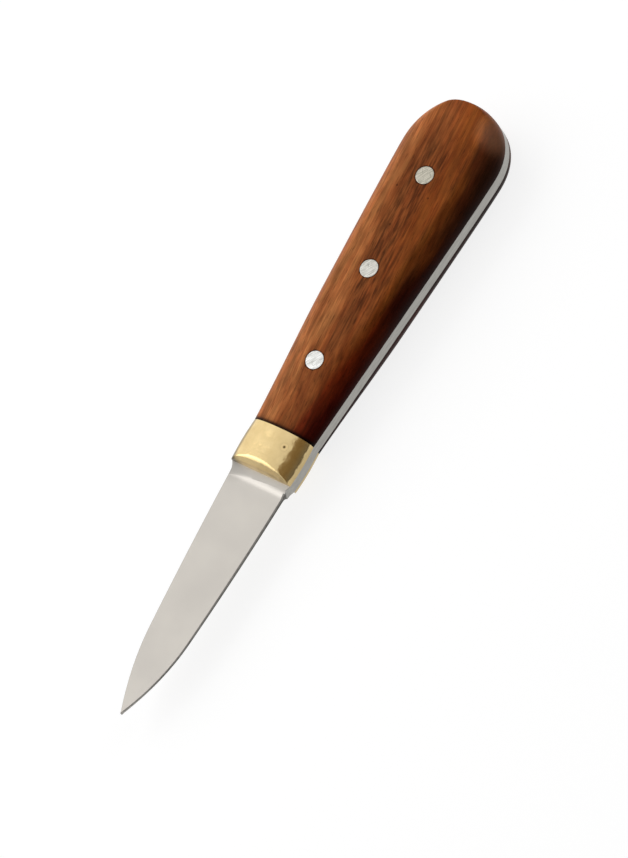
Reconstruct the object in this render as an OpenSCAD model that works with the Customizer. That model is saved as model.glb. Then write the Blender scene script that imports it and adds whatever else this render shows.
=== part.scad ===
// Oyster knife: one piece of steel for blade and tang, two crowned hardwood scales held by
// three peened rivets, and a pair of brass bolsters on one pin.
// Millimetres. The knife lies on its side: the point looks along -X, the cutting edge along -Y.
// The origin is on the surface that it lies on, under the middle of its length.

/* [Steel] */
// Length of the whole knife, from the point to the end of the handle
overall_l = 170; // [160:1:190]
// Length of the bare steel in front of the bolsters
blade_l = 66.2; // [56:0.2:72]
// Thickness of the steel
steel_t = 3; // [2:0.1:4]

/* [Blade] */
// Length of the curved point
point_l = 22; // [14:0.5:28]
// From the centre line to the back of the blade, at the heel
back_heel = 7.9; // [7:0.1:8.4]
// From the centre line to the back of the blade, where the point begins
back_shoulder = 5.2; // [4.2:0.1:6.4]
// How far the back bows out between the heel and the point
back_bow = 0.18; // [0:0.02:0.6]
// From the centre line to the cutting edge, at the heel
edge_heel = 8.2; // [7:0.1:8.4]
// From the centre line to the cutting edge, where the point begins
edge_shoulder = 6.2; // [5:0.1:6.8]
// How far the cutting edge bows out between the heel and the point
edge_bow = 0.3; // [0:0.02:0.8]
// Thickness of the blunt cutting edge at the heel
edge_t = 0.5; // [0.3:0.1:1]
// Thickness of the steel at the point
point_t = 1; // [0.6:0.1:1.6]
// Length of the unground heel in front of the bolsters, on the upper face
heel_l = 1.4; // [0.8:0.1:4]
// Radius that the grinding wheel leaves there, where the ground face meets the heel
wheel_r = 3; // [1.5:0.5:6]
// Length of the unground heel on the lower face
under_heel_l = 2.4; // [0.8:0.1:4]
// Radius that the grinding wheel leaves on the lower face
under_wheel_r = 1.5; // [1.5:0.5:6]

/* [Handle] */
// Width across the bolsters
neck_w = 17.5; // [17:0.1:20]
// How far each side of the bolsters swells between their ends
neck_swell = 0.25; // [0:0.05:0.5]
// From the centre line to the back of the handle, at its widest place
belly_back = 13.2; // [12:0.1:16]
// From the centre line to the belly of the handle, on the side of the cutting edge
belly_edge = 14.1; // [12:0.1:16]
// Length of the rounded end, from the widest place to the end of the handle
butt_l = 14.6; // [12:0.1:20]
// How square the rounded end is, seen from above: 2 is an ellipse, more is squarer
end_power = 2.1; // [2:0.05:2.8]
// How far in front of the widest place the flare of the handle turns parallel
flare_lead = 7.4; // [2:0.2:14]
// Height of the flat land of each scale above the steel
scale_h = 5.9; // [4.8:0.1:7]
// How far the full crown would rise past the flat land
crown_over = 1.5; // [0.8:0.1:2]
// How far below the land its shoulders start to ease into it
shoulder_ease = 0.3; // [0.2:0.1:0.7]
// How square the crowned section is: 2 is an ellipse, more is squarer
crown_power = 2.2; // [2:0.1:3.4]
// Length over which the crown rounds down at the end of the handle, seen from the side
end_round = 2.7; // [1:0.1:6]
// From the wood joint back to where the flat land begins
land_start = 21; // [14:0.5:30]
// Joint between bolster and wood
joint_gap = 0.1; // [0.05:0.05:0.3]

/* [Bolsters] */
// Length of the bolsters
bolster_l = 11; // [9:0.5:16]
// Height of each bolster above the steel
bolster_h = 4.3; // [3:0.1:5]
// Height of the upright lip at the front of each bolster
lip_h = 1; // [0.5:0.1:2]
// Length of the rounded nose of each bolster
nose_l = 2.6; // [1.5:0.1:4]
// How round the nose is: 1 is a bevel, 2 is an ellipse
nose_power = 1.7; // [1.2:0.1:2.4]
// How far the front of the bolsters is filed hollow at its middle
front_hollow = 0.4; // [0.1:0.1:0.8]
// Diameter of the bolster pin
pin_d = 2; // [1.5:0.1:3]
// From the wood joint forward to the bolster pin
pin_back = 3.7; // [2.5:0.1:5]
// How far the bolster pin sits off the centre line, towards the cutting edge
pin_off = 4.1; // [0:0.1:5]

/* [Rivets] */
// Diameter of the rivet shanks
rivet_d = 4; // [3:0.1:5]
// Diameter of the peened heads
rivet_head_d = 4.7; // [4:0.1:6]
// Depth over which a shank spreads into its head
peen_h = 1.2; // [0.8:0.1:2]
// From the wood joint back to the front rivet
rivet_first = 18.2; // [12:0.1:20]
// From the front rivet to the middle one
rivet_pitch = 25.9; // [20:0.1:27]
// From the middle rivet to the rear one
rear_pitch = 26.6; // [20:0.1:27]
// Gap all round each rivet and pin
fit_gap = 0.03; // [0.01:0.01:0.1]

/* [Hidden] */
RIVET_NODES = ["front_rivet", "middle_rivet", "rear_rivet"];
$fn = 64;

STEEL = "#cfcbc6";
WOOD = "#7d4526";
BRASS = "#dcbb72";
RIVET = "#dedddb";

point_steps = 12;     // stations along the curved point
side_steps = 12;      // stations along the rest of the blade
neck_steps = 6;       // stations along the bolsters, behind their nose
nose_steps = 7;       // stations along the nose of a bolster
flare_steps = 22;     // stations from the wood joint to the widest place
butt_steps = 14;      // stations round the end of the handle
arch_steps = 28;      // points over the crown of each section
past = 20;            // how far a cutting solid reaches past what it cuts
proud = 0.3;          // how far the front rivet stands out of the wood before it is filed
rivet_places = [0, rivet_pitch, rivet_pitch + rear_pitch];

half_t = steel_t / 2;
heel_x = blade_l - heel_l;
joint_x = blade_l + bolster_l;
belly_x = overall_l - butt_l;
lie_z = half_t + scale_h;
crown_h = scale_h + crown_over;

// The crown climbs from the bolster to its full height along an S-shaped curve, long enough for
// it to reach the height of the land where the land begins.
land_share = (scale_h + shoulder_ease - bolster_h) / (crown_h - bolster_h);
rise_l = land_start / (0.5 - sin(asin(1 - 2 * land_share) / 3));

// Outline of one side of the blade, as a distance from the centre line: a bowed line from the
// heel to the shoulder, then a curve that leaves it at the same slope and closes at the point.
function blade_side(x, heel, shoulder, bow) =
    let (run = heel_x - point_l, slope = (heel - shoulder + 4 * bow) / run)
    x >= point_l
        ? let (t = (x - point_l) / run) shoulder + (heel - shoulder) * t + 4 * bow * t * (1 - t)
        : let (q = (point_l - x) / point_l, drop = slope * point_l)
          shoulder - drop * q - (shoulder - drop) * q * q;

// Places along the blade from the point to the heel, closer together round the point.
blade_xs = concat(
    [for (i = [0 : point_steps - 1]) point_l * pow(i / point_steps, 1.5)],
    [for (i = [0 : side_steps]) point_l + (heel_x - point_l) * i / side_steps]);

// Handle outline as stations [x, back, edge], the distances from the centre line to its two sides:
// the neck under the bolsters, the flare and the rounded butt. The tang, the scales and the
// bolsters all take their sides from these.
function neck_at(x) =
    let (w = neck_w / 2 + neck_swell * sin(180 * (x - blade_l) / bolster_l))
    [x, w, w];
neck = [for (i = [0 : neck_steps]) neck_at(blade_l + bolster_l * i / neck_steps)];
flare = [for (i = [0 : flare_steps])
    let (t = i / flare_steps, s = 1 - t, turn_x = belly_x - flare_lead)
    [s * s * joint_x + 2 * s * t * turn_x + t * t * belly_x,
     belly_back - (belly_back - neck_w / 2) * s * s,
     belly_edge - (belly_edge - neck_w / 2) * s * s]];
butt = [for (i = [1 : butt_steps - 1])
    let (a = 90 * i / butt_steps, narrow = pow(cos(a), 2 / end_power))
    [belly_x + butt_l * pow(sin(a), 2 / end_power), belly_back * narrow, belly_edge * narrow]];

// Height of the wooden crown above the steel: level with the bolster at the joint, full after
// the rise, and rounded down at the end.
function wood_h(x) =
    let (t = min(1, (x - joint_x) / rise_l), q = max(0, 1 - (overall_l - x) / end_round))
    (bolster_h + (crown_h - bolster_h) * t * t * (3 - 2 * t)) * sqrt(1 - q * q);

// Height of a bolster above the steel: a lip, a rounded nose, then level.
function brass_h(x) =
    let (t = min(1, max(0, (blade_l + nose_l - x) / nose_l)))
    lip_h + (bolster_h - lip_h) * pow(1 - pow(t, nose_power), 1 / nose_power);

// The crown is sanded down to the land. Its height z eases into the land along a parabola and is
// the land's own wherever the crown would stand higher.
function sanded(z) =
    let (into = z - scale_h + shoulder_ease)
    into <= 0 ? z : into >= 2 * shoulder_ease ? scale_h : z - into * into / (4 * shoulder_ease);

// One section across the handle at station p: an arch from one edge of the steel to the other.
function arch(p, h) = [for (j = [0 : arch_steps])
    let (a = 180 * j / arch_steps, c = cos(a), s = abs(sin(a)), reach = c > 0 ? p[1] : -p[2])
    [p[0],
     reach * pow(abs(c), 2 / crown_power),
     half_t + sanded(h * pow(s, 2 / crown_power))]];

// A solid over the upper face of the steel, skinned over a row of arches. With a tip it closes
// there, otherwise it ends on its last arch.
module skinned(arches, tip = []) {
    rows = len(arches);
    cols = arch_steps + 1;
    points = concat([for (row = arches) each row], tip == [] ? [] : [tip]);
    last = cols * (rows - 1);
    walls = [for (i = [0 : rows - 2], j = [0 : cols - 1])
        let (k = (j + 1) % cols, a = i * cols)
        each [[a + j, a + cols + j, a + k], [a + k, a + cols + j, a + cols + k]]];
    front = [for (j = [0 : cols - 1]) j];
    back = tip == []
        ? [[for (j = [cols - 1 : -1 : 0]) last + j]]
        : [for (j = [0 : cols - 1]) [last + j, rows * cols, last + (j + 1) % cols]];
    polyhedron(points, concat([front], walls, back), convexity = 4);
}

// A rivet, or with a gap and a reach past the land, the hole that it fills: a shank whose ends
// spread into countersunk heads.
module rivet_solid(gap = 0, over = 0) {
    shank_r = rivet_d / 2 + gap;
    spread = (rivet_head_d - rivet_d) / 2 / peen_h;
    cylinder(h = 2 * (lie_z + over), r = shank_r, center = true);
    for (side = [0, 1])
        mirror([0, 0, side])
            translate([0, 0, lie_z - peen_h])
                cylinder(h = peen_h + over, r1 = shank_r, r2 = shank_r + spread * (peen_h + over));
}

module at_rivet(i) {
    translate([joint_x + rivet_first + rivet_places[i], 0, 0]) children();
}

module at_pin() {
    translate([joint_x - pin_back, -pin_off, 0]) children();
}

module rivet_holes() {
    for (i = [0 : len(RIVET_NODES) - 1])
        at_rivet(i) rivet_solid(fit_gap, over = peen_h);
}

module pin_hole() {
    at_pin() cylinder(h = 2 * lie_z, d = pin_d + 2 * fit_gap, center = true);
}

// What a grinding pass takes off the upper face of the blade: everything above a plane that
// runs from full thickness at the back to the blunt edge, ended at end_x by the round of the wheel.
module grinding_pass(end_x, r) {
    lean = (steel_t - edge_t) / 2 / (back_heel + edge_heel);
    climb = (half_t - lean * back_heel - point_t / 2) / heel_x;
    depth = (steel_t - edge_t) / 2;
    mid_x = end_x - sqrt(pow(r, 2) - pow(max(0, r - depth), 2));
    tilt = asin(lean / sqrt(1 + lean * lean + climb * climb));
    translate([0, 0, point_t / 2])
        rotate([tilt, -atan(climb), 0])
            rotate([90, 0, 0])
                linear_extrude(height = 2 * past, center = true) {
                    translate([-past, 0])
                        square([past + mid_x, past]);
                    translate([-past, r])
                        square([past + mid_x + r, past]);
                    translate([mid_x, r])
                        circle(r, $fn = 96);
                }
}

// Outline of the steel: round the point, along the cutting edge, out to the bolsters, along the
// handle and back the same way.
module steel_outline() {
    sides = concat(neck, [for (i = [1 : flare_steps]) flare[i]], butt);
    edge = [for (x = blade_xs) [x, -blade_side(x, edge_heel, edge_shoulder, edge_bow)]];
    back = [for (x = blade_xs) [x, blade_side(x, back_heel, back_shoulder, back_bow)]];
    polygon(concat(
        edge,
        [for (p = sides) [p[0], -p[2]]],
        [[overall_l, 0]],
        [for (i = [len(sides) - 1 : -1 : 0]) [sides[i][0], sides[i][1]]],
        [for (i = [len(back) - 1 : -1 : 1]) back[i]]));
}

module blade_and_tang() {
    color(STEEL)
        difference() {
            linear_extrude(height = steel_t, center = true) steel_outline();
            grinding_pass(heel_x, wheel_r);
            mirror([0, 0, 1]) grinding_pass(blade_l - under_heel_l, under_wheel_r);
            rivet_holes();
            pin_hole();
        }
}

// The upper wooden half before it is drilled: crowned, with a flat land along its middle.
module shaped_wood() {
    start_x = joint_x + joint_gap;
    stations = concat(
        [[start_x, neck_w / 2, neck_w / 2]],
        [for (i = [1 : flare_steps]) flare[i]],
        butt);
    skinned([for (p = stations) arch(p, wood_h(p[0]))], [overall_l, 0, half_t]);
}

// The upper brass cheek before it is drilled: crowned like the wood and rounded over at its nose.
module shaped_brass() {
    nose = [for (i = [0 : nose_steps]) neck_at(blade_l + nose_l * (1 - cos(90 * i / nose_steps)))];
    rest = [for (p = neck) if (p[0] > blade_l + nose_l) p];
    skinned([for (p = concat(nose, rest)) arch(p, brass_h(p[0]))]);
}

module scale_half() {
    color(WOOD)
        difference() {
            shaped_wood();
            rivet_holes();
        }
}

// The finished brass cheek is also filed slightly hollow across its front.
module bolster_half() {
    hollow_r = pow(neck_w / 2, 2) / (2 * front_hollow);
    color(BRASS)
        difference() {
            shaped_brass();
            translate([blade_l + front_hollow - hollow_r, 0, 0])
                cylinder(h = 2 * past, r = hollow_r, $fn = 360, center = true);
            pin_hole();
        }
}

// What a file takes off the two ends of a rivet or pin of diameter d at x, y: all that stands
// out of the crown of its children.
module filings(x, y, d) {
    for (side = [0, 1])
        mirror([0, 0, side])
            difference() {
                translate([x, y, half_t + lip_h]) cylinder(h = past, d = 2 * d);
                children();
            }
}

module rivet(i) {
    color(RIVET)
        difference() {
            at_rivet(i) rivet_solid(over = i == 0 ? proud : 0);
            if (i == 0)
                filings(joint_x + rivet_first, 0, rivet_head_d) shaped_wood();
        }
}

module bolster_pin() {
    color(BRASS)
        difference() {
            at_pin() cylinder(h = 2 * lie_z, d = pin_d, center = true);
            filings(joint_x - pin_back, -pin_off, pin_d) shaped_brass();
        }
}

// Moves the knife, built with its point at zero and its steel centred, onto its resting place.
module placed() {
    translate([-overall_l / 2, (belly_edge - belly_back) / 2, lie_z]) children();
}

placed() blade_and_tang();
placed() scale_half();  // upper_scale
placed() mirror([0, 0, 1]) scale_half();  // lower_scale
placed() bolster_half();  // upper_bolster
placed() mirror([0, 0, 1]) bolster_half();  // lower_bolster
for (i = [0 : len(RIVET_NODES) - 1])
    placed() rivet(i);
placed() bolster_pin();
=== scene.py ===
import bmesh
import bpy
import math
from mathutils import Matrix, Vector


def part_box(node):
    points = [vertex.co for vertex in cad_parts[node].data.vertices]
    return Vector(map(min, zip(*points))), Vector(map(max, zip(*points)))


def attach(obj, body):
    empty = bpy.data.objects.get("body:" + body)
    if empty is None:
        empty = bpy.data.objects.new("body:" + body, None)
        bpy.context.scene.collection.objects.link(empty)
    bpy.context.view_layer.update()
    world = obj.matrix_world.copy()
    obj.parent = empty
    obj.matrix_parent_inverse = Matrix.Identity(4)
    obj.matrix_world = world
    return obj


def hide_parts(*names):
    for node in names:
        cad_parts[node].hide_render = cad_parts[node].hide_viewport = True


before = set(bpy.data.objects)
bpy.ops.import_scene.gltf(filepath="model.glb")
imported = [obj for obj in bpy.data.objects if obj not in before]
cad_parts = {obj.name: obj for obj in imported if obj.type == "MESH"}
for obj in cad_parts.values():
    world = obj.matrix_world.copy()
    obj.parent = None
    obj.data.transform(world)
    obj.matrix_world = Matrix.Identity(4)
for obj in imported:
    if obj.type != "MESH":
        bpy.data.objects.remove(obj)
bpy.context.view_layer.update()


# Camera. A long lens looks down on the knife from in front of its cutting edge, a little from
# the side of the point, and is rolled so that the knife leans up to the right in the frame.
MM = 0.001                  # metres in a millimetre
VIEW_AZIMUTH = -20.9        # degrees, from the look along +Y
VIEW_ELEVATION = 57.4       # degrees above the table
VIEW_DISTANCE = 1.2         # metres from the middle of the knife
FRAME_W = 628               # pixels
FRAME_H = 858               # pixels
KNIFE_MIDDLE_PX = (303.3, 409.3)    # where the middle of the knife shows in the frame
PX_PER_MM = 4.203           # at the middle of the knife
KNIFE_LEAN = 30.82          # degrees that the knife's length leans from the frame's upright
SENSOR_H = 24.0             # millimetres
BELLY_EDGE = 14.1           # millimetres from the centre line to the widest place, edge side

low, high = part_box("blade_and_tang")
knife_middle = Vector(((low.x + high.x) / 2, low.y + BELLY_EDGE * MM, (low.z + high.z) / 2))
azimuth = math.radians(VIEW_AZIMUTH)
elevation = math.radians(VIEW_ELEVATION)
towards_camera = Vector((math.sin(azimuth) * math.cos(elevation),
                         -math.cos(azimuth) * math.cos(elevation),
                         math.sin(elevation)))
along = (Vector((1, 0, 0)) - towards_camera.x * towards_camera).normalized()
across = towards_camera.cross(along)
lean = math.radians(KNIFE_LEAN)
view_right = along * math.sin(lean) - across * math.cos(lean)
view_up = along * math.cos(lean) + across * math.sin(lean)
off_right = (FRAME_W / 2 - KNIFE_MIDDLE_PX[0]) / PX_PER_MM * MM
off_up = (KNIFE_MIDDLE_PX[1] - FRAME_H / 2) / PX_PER_MM * MM

camera_data = bpy.data.cameras.new("long_lens")
camera_data.sensor_fit = "VERTICAL"
camera_data.sensor_height = SENSOR_H
camera_data.lens = PX_PER_MM / MM * VIEW_DISTANCE / FRAME_H * SENSOR_H
camera_data.clip_end = 20
camera = bpy.data.objects.new("camera", camera_data)
bpy.context.scene.collection.objects.link(camera)
basis = Matrix((view_right, view_up, towards_camera)).transposed().to_4x4()
eye = knife_middle + towards_camera * VIEW_DISTANCE + view_right * off_right + view_up * off_up
camera.matrix_world = Matrix.Translation(eye) @ basis
bpy.context.scene.camera = camera


# Blade and tang. One bar of stainless steel, ground on both faces to a blunt spear point, with
# the run-out of the grinding wheel left in front of the bolsters. Behind them it is the full
# tang, its sides sanded flush with the wood. Sizes are in millimetres, places from the point.
STEEL_T = 3.0
BLADE_L = 66.2
OVERALL_L = 170.0
POINT_L = 22.0              # how far back the round of the point reaches
POINT_T = 1.0
EDGE_T = 0.5
# Each side of the blade: its half-width at the heel and where the point begins, and its bow.
BACK_HEEL, BACK_SHOULDER, BACK_BOW = 7.9, 5.2, 0.18
EDGE_HEEL, EDGE_SHOULDER, EDGE_BOW = 8.2, 6.2, 0.3
HEEL_L, WHEEL_R = 1.4, 3.0                # unground heel and wheel run-out on the upper face
UNDER_HEEL_L, UNDER_WHEEL_R = 2.4, 1.5    # the same on the lower face
NECK_W = 17.5
NECK_SWELL = 0.25
BOLSTER_L = 11.0
BELLY_BACK = 13.2
BUTT_L = 14.6
END_POWER = 2.1             # of the butt's superellipse
FLARE_LEAD = 7.4            # how far in front of the belly the flare's control point lies
BACK_ARRIS, EDGE_ARRIS = 0.12, 0.15       # how far the blade's corners are rounded off
DARK_EDGE_L, DARK_EDGE_W = 64.2, 0.45     # the dark skin's reach from the point and onto a face

# Holes through the tang: one for the pin of the bolsters and three for the rivets.
PIN_D, PIN_BACK, PIN_OFF = 2.0, 3.7, 4.1
RIVET_D, RIVET_FIRST, RIVET_PITCH, REAR_PITCH = 4.0, 18.2, 25.9, 26.6
FIT_GAP = 0.03
PAST_KNIFE = 9.0                          # a cutter's reach up and down, past both faces

# How finely meshes are drawn, in rows along the knife, columns across it and sides of a round.
POINT_ROWS, BLADE_ROWS, RUN_OUT_ROWS, HEEL_ROWS = 26, 30, 12, 4
BOLSTER_ROWS, HANDLE_ROWS, BUTT_ROWS = 12, 56, 40
POINT_CROWD, CREST_CROWD = 1.6, 0.7       # rows crowd where the steel turns most
FACE_COLUMNS = 26
TURNED_SIDES = 96
SHARP_TURN = 28                           # degrees above which an edge stays sharp
WELD, SLIVER = 0.002, 0.0005              # points this close become one
HAIR = 0.01                               # the least width that a face is drawn with
CREST_MIN = 0.03                          # the least length of the wheel's run-out

half_t = STEEL_T / 2
heel_x = BLADE_L - HEEL_L
joint_x = BLADE_L + BOLSTER_L
belly_x = OVERALL_L - BUTT_L
pin_x = joint_x - PIN_BACK
front_rivet_x = joint_x + RIVET_FIRST
rivet_xs = [front_rivet_x, front_rivet_x + RIVET_PITCH, front_rivet_x + RIVET_PITCH + REAR_PITCH]
point = Vector((low.x, low.y + BELLY_EDGE * MM, (low.z + high.z) / 2))


def blade_side(x, heel, shoulder, bow):
    """Distance from the centre line to one side of the blade."""
    run = heel_x - POINT_L
    if x >= POINT_L:
        t = (x - POINT_L) / run
        return shoulder + (heel - shoulder) * t + 4 * bow * t * (1 - t)
    q = (POINT_L - x) / POINT_L
    drop = (heel - shoulder + 4 * bow) / run * POINT_L
    return shoulder - drop * q - (shoulder - drop) * q * q


def sides_at(x):
    """Distances from the centre line to the back and to the edge side of the whole knife."""
    neck = NECK_W / 2
    if x <= heel_x:
        return (blade_side(x, BACK_HEEL, BACK_SHOULDER, BACK_BOW),
                blade_side(x, EDGE_HEEL, EDGE_SHOULDER, EDGE_BOW))
    if x <= BLADE_L:
        t = (x - heel_x) / HEEL_L
        return BACK_HEEL + (neck - BACK_HEEL) * t, EDGE_HEEL + (neck - EDGE_HEEL) * t
    if x <= joint_x:
        w = neck + NECK_SWELL * math.sin(math.pi * (x - BLADE_L) / BOLSTER_L)
        return w, w
    if x <= belly_x:
        # A parabola that runs along the handle at the belly. Its control point is at turn_x.
        turn_x = belly_x - FLARE_LEAD
        a = joint_x - 2 * turn_x + belly_x
        b = turn_x - joint_x
        t = (math.sqrt(b * b + a * (x - joint_x)) - b) / a
        s = (1 - t) ** 2
        return BELLY_BACK - (BELLY_BACK - neck) * s, BELLY_EDGE - (BELLY_EDGE - neck) * s
    q = min(1, (x - belly_x) / BUTT_L)
    narrow = (1 - q ** END_POWER) ** (1 / END_POWER)
    return BELLY_BACK * narrow, BELLY_EDGE * narrow


def across_y(x, share):
    """The y of a place at a share of the knife's width, counted from the edge side."""
    back, edge = sides_at(x)
    return -edge + (back + edge) * share


def spread(start, end, count, power=1.0):
    """Places from start up to end, crowded towards the start by the power."""
    return [start + (end - start) * (i / count) ** power for i in range(count)]


def shade(piece):
    """Smooth faces, with every edge that turns by more than SHARP_TURN kept sharp."""
    bm = bmesh.new()
    bm.from_mesh(piece.data)
    for face in bm.faces:
        face.smooth = True
    for edge in bm.edges:
        edge.smooth = edge.is_manifold and edge.calc_face_angle(0) < math.radians(SHARP_TURN)
    bm.to_mesh(piece.data)
    bm.free()


def loft(name, loops):
    """A closed mesh through loops of points, in millimetres of the knife, capped at its ends."""
    bm = bmesh.new()
    rings = [[bm.verts.new(point + Vector(p) * MM) for p in loop] for loop in loops]
    count = len(loops[0])
    for a, b in zip(rings, rings[1:]):
        for i in range(count):
            j = (i + 1) % count
            bm.faces.new((a[i], a[j], b[j], b[i]))
    bm.faces.new(list(reversed(rings[0])))
    bm.faces.new(rings[-1])
    bmesh.ops.remove_doubles(bm, verts=bm.verts, dist=WELD * MM)
    bmesh.ops.dissolve_degenerate(bm, dist=SLIVER * MM, edges=bm.edges)
    bmesh.ops.recalc_face_normals(bm, faces=bm.faces)
    mesh = bpy.data.meshes.new(name)
    bm.to_mesh(mesh)
    bm.free()
    piece = bpy.data.objects.new(name, mesh)
    bpy.context.scene.collection.objects.link(piece)
    shade(piece)
    return piece


def turned(name, profile, x, y):
    """A solid of revolution about an upright axis at x, y, from a profile of radius and height."""
    angles = [2 * math.pi * i / TURNED_SIDES for i in range(TURNED_SIDES)]
    return loft(name, [[[x + radius * math.cos(a), y + radius * math.sin(a), z] for a in angles]
                       for radius, z in profile])


def bore(radius, x, y):
    """A cutter for a straight hole right through the knife."""
    return turned("bore", [(radius, -PAST_KNIFE), (radius, PAST_KNIFE)], x, y)


def drill(piece, cutters):
    """Cuts holes into a piece and puts the cutters away."""
    for cutter in cutters:
        cut = piece.modifiers.new("hole", "BOOLEAN")
        cut.operation = "DIFFERENCE"
        cut.solver = "EXACT"
        cut.object = cutter
    evaluated = piece.evaluated_get(bpy.context.evaluated_depsgraph_get())
    drilled = bpy.data.meshes.new_from_object(evaluated)
    piece.modifiers.clear()
    piece.data = drilled
    for cutter in cutters:
        bpy.data.objects.remove(cutter)
    shade(piece)


class Grind:
    """One ground face of the blade: a plane, then the round run-out of the wheel, then flat."""
    depth = (STEEL_T - EDGE_T) / 2            # the deepest cut, where the edge meets the heel
    lean = depth / (BACK_HEEL + EDGE_HEEL)    # how the plane rises towards the back
    climb = (half_t - lean * BACK_HEEL - POINT_T / 2) / heel_x    # and towards the heel

    def __init__(self, end_x, wheel_r):
        self.r = wheel_r
        self.start_x = end_x - math.sqrt(wheel_r ** 2 - (wheel_r - self.depth) ** 2)

    def z(self, x, y):
        """Height of the face above the middle of the steel."""
        past = min(self.r, max(0, x - self.start_x))
        plane = POINT_T / 2 + self.climb * x + self.lean * y
        return min(half_t, plane + self.r - math.sqrt(self.r ** 2 - past ** 2))

    def crest_x(self, share):
        """Where the run-out comes up to the unground face, at this share of the width."""
        deep = max(0.0, half_t - self.z(self.start_x, across_y(self.start_x, share)))
        return self.start_x + max(CREST_MIN, math.sqrt(self.r ** 2 - (self.r - deep) ** 2))


def dark_skin(x):
    """How far the dark skin of the edge reaches onto a face, narrowing to nothing at the point."""
    return HAIR + DARK_EDGE_W * min(1, x / POINT_L)


def steel_face(grind, x_of, arris):
    """Points over one face of the steel from its edge side to its back, with its corners eased.
    One column follows the border of the dark skin."""
    ends = []
    for share in (0, 1):
        x = x_of(grind, share)
        y = across_y(x, share)
        ends.append([x, y, grind.z(x, y)])
    width = max(HAIR, ends[1][1] - ends[0][1])
    # The easing stays within two fifths of the height and a fifth of the width.
    ease = [min(radius * arris, 0.4 * end[2], 0.2 * width)
            for radius, end in zip((EDGE_ARRIS, BACK_ARRIS), ends)]
    flat = 1 - sum(ease) / width
    # The skin's column stays short of the next one.
    skin = min(0.85 / FACE_COLUMNS, dark_skin(ends[0][0]) / width)
    face = []
    for share in [0, skin] + [i / FACE_COLUMNS for i in range(1, FACE_COLUMNS + 1)]:
        share = ease[0] / width + flat * share
        x = x_of(grind, share)
        y = across_y(x, share)
        face.append([x, y, grind.z(x, y)])
    (x0, y0, z0), (x1, y1, z1) = ends
    return [[x0, y0, z0 - ease[0]]] + face + [[x1, y1, z1 - ease[1]]]


upper_grind = Grind(heel_x, WHEEL_R)
lower_grind = Grind(BLADE_L - UNDER_HEEL_L, UNDER_WHEEL_R)
ground_l = min(upper_grind.start_x, lower_grind.start_x)
handle_xs = (spread(joint_x, belly_x, HANDLE_ROWS)
             + [belly_x + BUTT_L * math.sin(math.radians(90 * i / BUTT_ROWS))
                for i in range(BUTT_ROWS + 1)])

# Each row is where it lies along the knife, and how much of the corner's easing it has.
steel_rows = [(lambda grind, share, x=x: x, 1.0)
              for x in (spread(0, POINT_L, POINT_ROWS, POINT_CROWD)
                        + spread(POINT_L, ground_l, BLADE_ROWS))]
for i in range(RUN_OUT_ROWS + 1):
    steel_rows.append((lambda grind, share, f=(i / RUN_OUT_ROWS) ** CREST_CROWD:
                       grind.start_x + f * (grind.crest_x(share) - grind.start_x), 1.0))
for i in range(1, HEEL_ROWS + 1):
    steel_rows.append((lambda grind, share, f=i / HEEL_ROWS:
                       (1 - f) * grind.crest_x(share) + f * BLADE_L, 1 - i / HEEL_ROWS))
for x in spread(BLADE_L, joint_x, BOLSTER_ROWS)[1:] + handle_xs:
    steel_rows.append((lambda grind, share, x=x: x, 0.0))
steel_loops = []
for x_of, arris in steel_rows:
    upper = steel_face(upper_grind, x_of, arris)
    lower = steel_face(lower_grind, x_of, arris)
    steel_loops.append(upper + [[x, y, -z] for x, y, z in reversed(lower)])
steel = loft("blade_and_tang_steel", steel_loops)
drill(steel, [bore(PIN_D / 2 + FIT_GAP, pin_x, -PIN_OFF)]
      + [bore(RIVET_D / 2 + FIT_GAP, x, 0) for x in rivet_xs])
steel.data.materials.clear()


def linear(hex_colour):
    """An sRGB hex colour as the linear colour that a shader takes."""
    channels = [int(hex_colour[i:i + 2], 16) / 255 for i in (1, 3, 5)]
    return [c / 12.92 if c <= 0.04045 else ((c + 0.055) / 1.055) ** 2.4 for c in channels] + [1.0]


def join(tree, node, links):
    """Gives a node's sockets their values, or links from pairs of a node and its output."""
    for key, value in links.items():
        if isinstance(value, tuple) and isinstance(value[0], bpy.types.Node):
            tree.links.new(value[0].outputs[value[1]], node.inputs[key])
        else:
            node.inputs[key].default_value = value


def add(tree, kind, links=None, ramp=None, **settings):
    """Adds a node with its settings, its links and the stops of its colour ramp."""
    made = tree.nodes.new(kind)
    for key, value in settings.items():
        setattr(made, key, value)
    join(tree, made, links or {})
    for i, (at, colour) in enumerate(ramp or []):
        stop = made.color_ramp.elements[i] if i < 2 else made.color_ramp.elements.new(at)
        stop.position = at
        stop.color = linear(colour)
    return made


def finish_of(name):
    """A new material with its tree, its shader and the frame's own coordinates in millimetres."""
    material = bpy.data.materials.new(name)
    material.use_nodes = True
    tree = material.node_tree
    shader = tree.nodes["Principled BSDF"]
    where = add(tree, "ShaderNodeTexCoord")
    millimetres = add(tree, "ShaderNodeMapping",
                      {"Vector": (where, "Object"), "Scale": (1 / MM, 1 / MM, 1 / MM)})
    return material, tree, shader, millimetres


# The point in the materials' millimetres. A pattern's size is how long, wide and deep it is, in
# millimetres, and a pattern that comes in spots gives how many go on a millimetre.
tip_x, tip_y, tip_z = (c / MM for c in point)


def on_knife(x, y, z):
    """A place on the knife, counted from its point, in the materials' millimetres."""
    return tip_x + x, tip_y + y, tip_z + z


# Satin stainless steel: cross-ground on a fine belt, so faint lines run across it and it mirrors
# its surroundings softly. The unground heel keeps the duller skin of the bar. The real lines are
# some hundredths of a millimetre apart. They are drawn coarser, so that the render can show them.
BELT_LINE = (0.22, 5.0, 5.0)
CLOUDS_PER_MM = 0.09
HEEL_CORNER = (63.5, -8.2, -0.7)
BACK_CORNER = (65.9, 8.2, 1.5)

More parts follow.
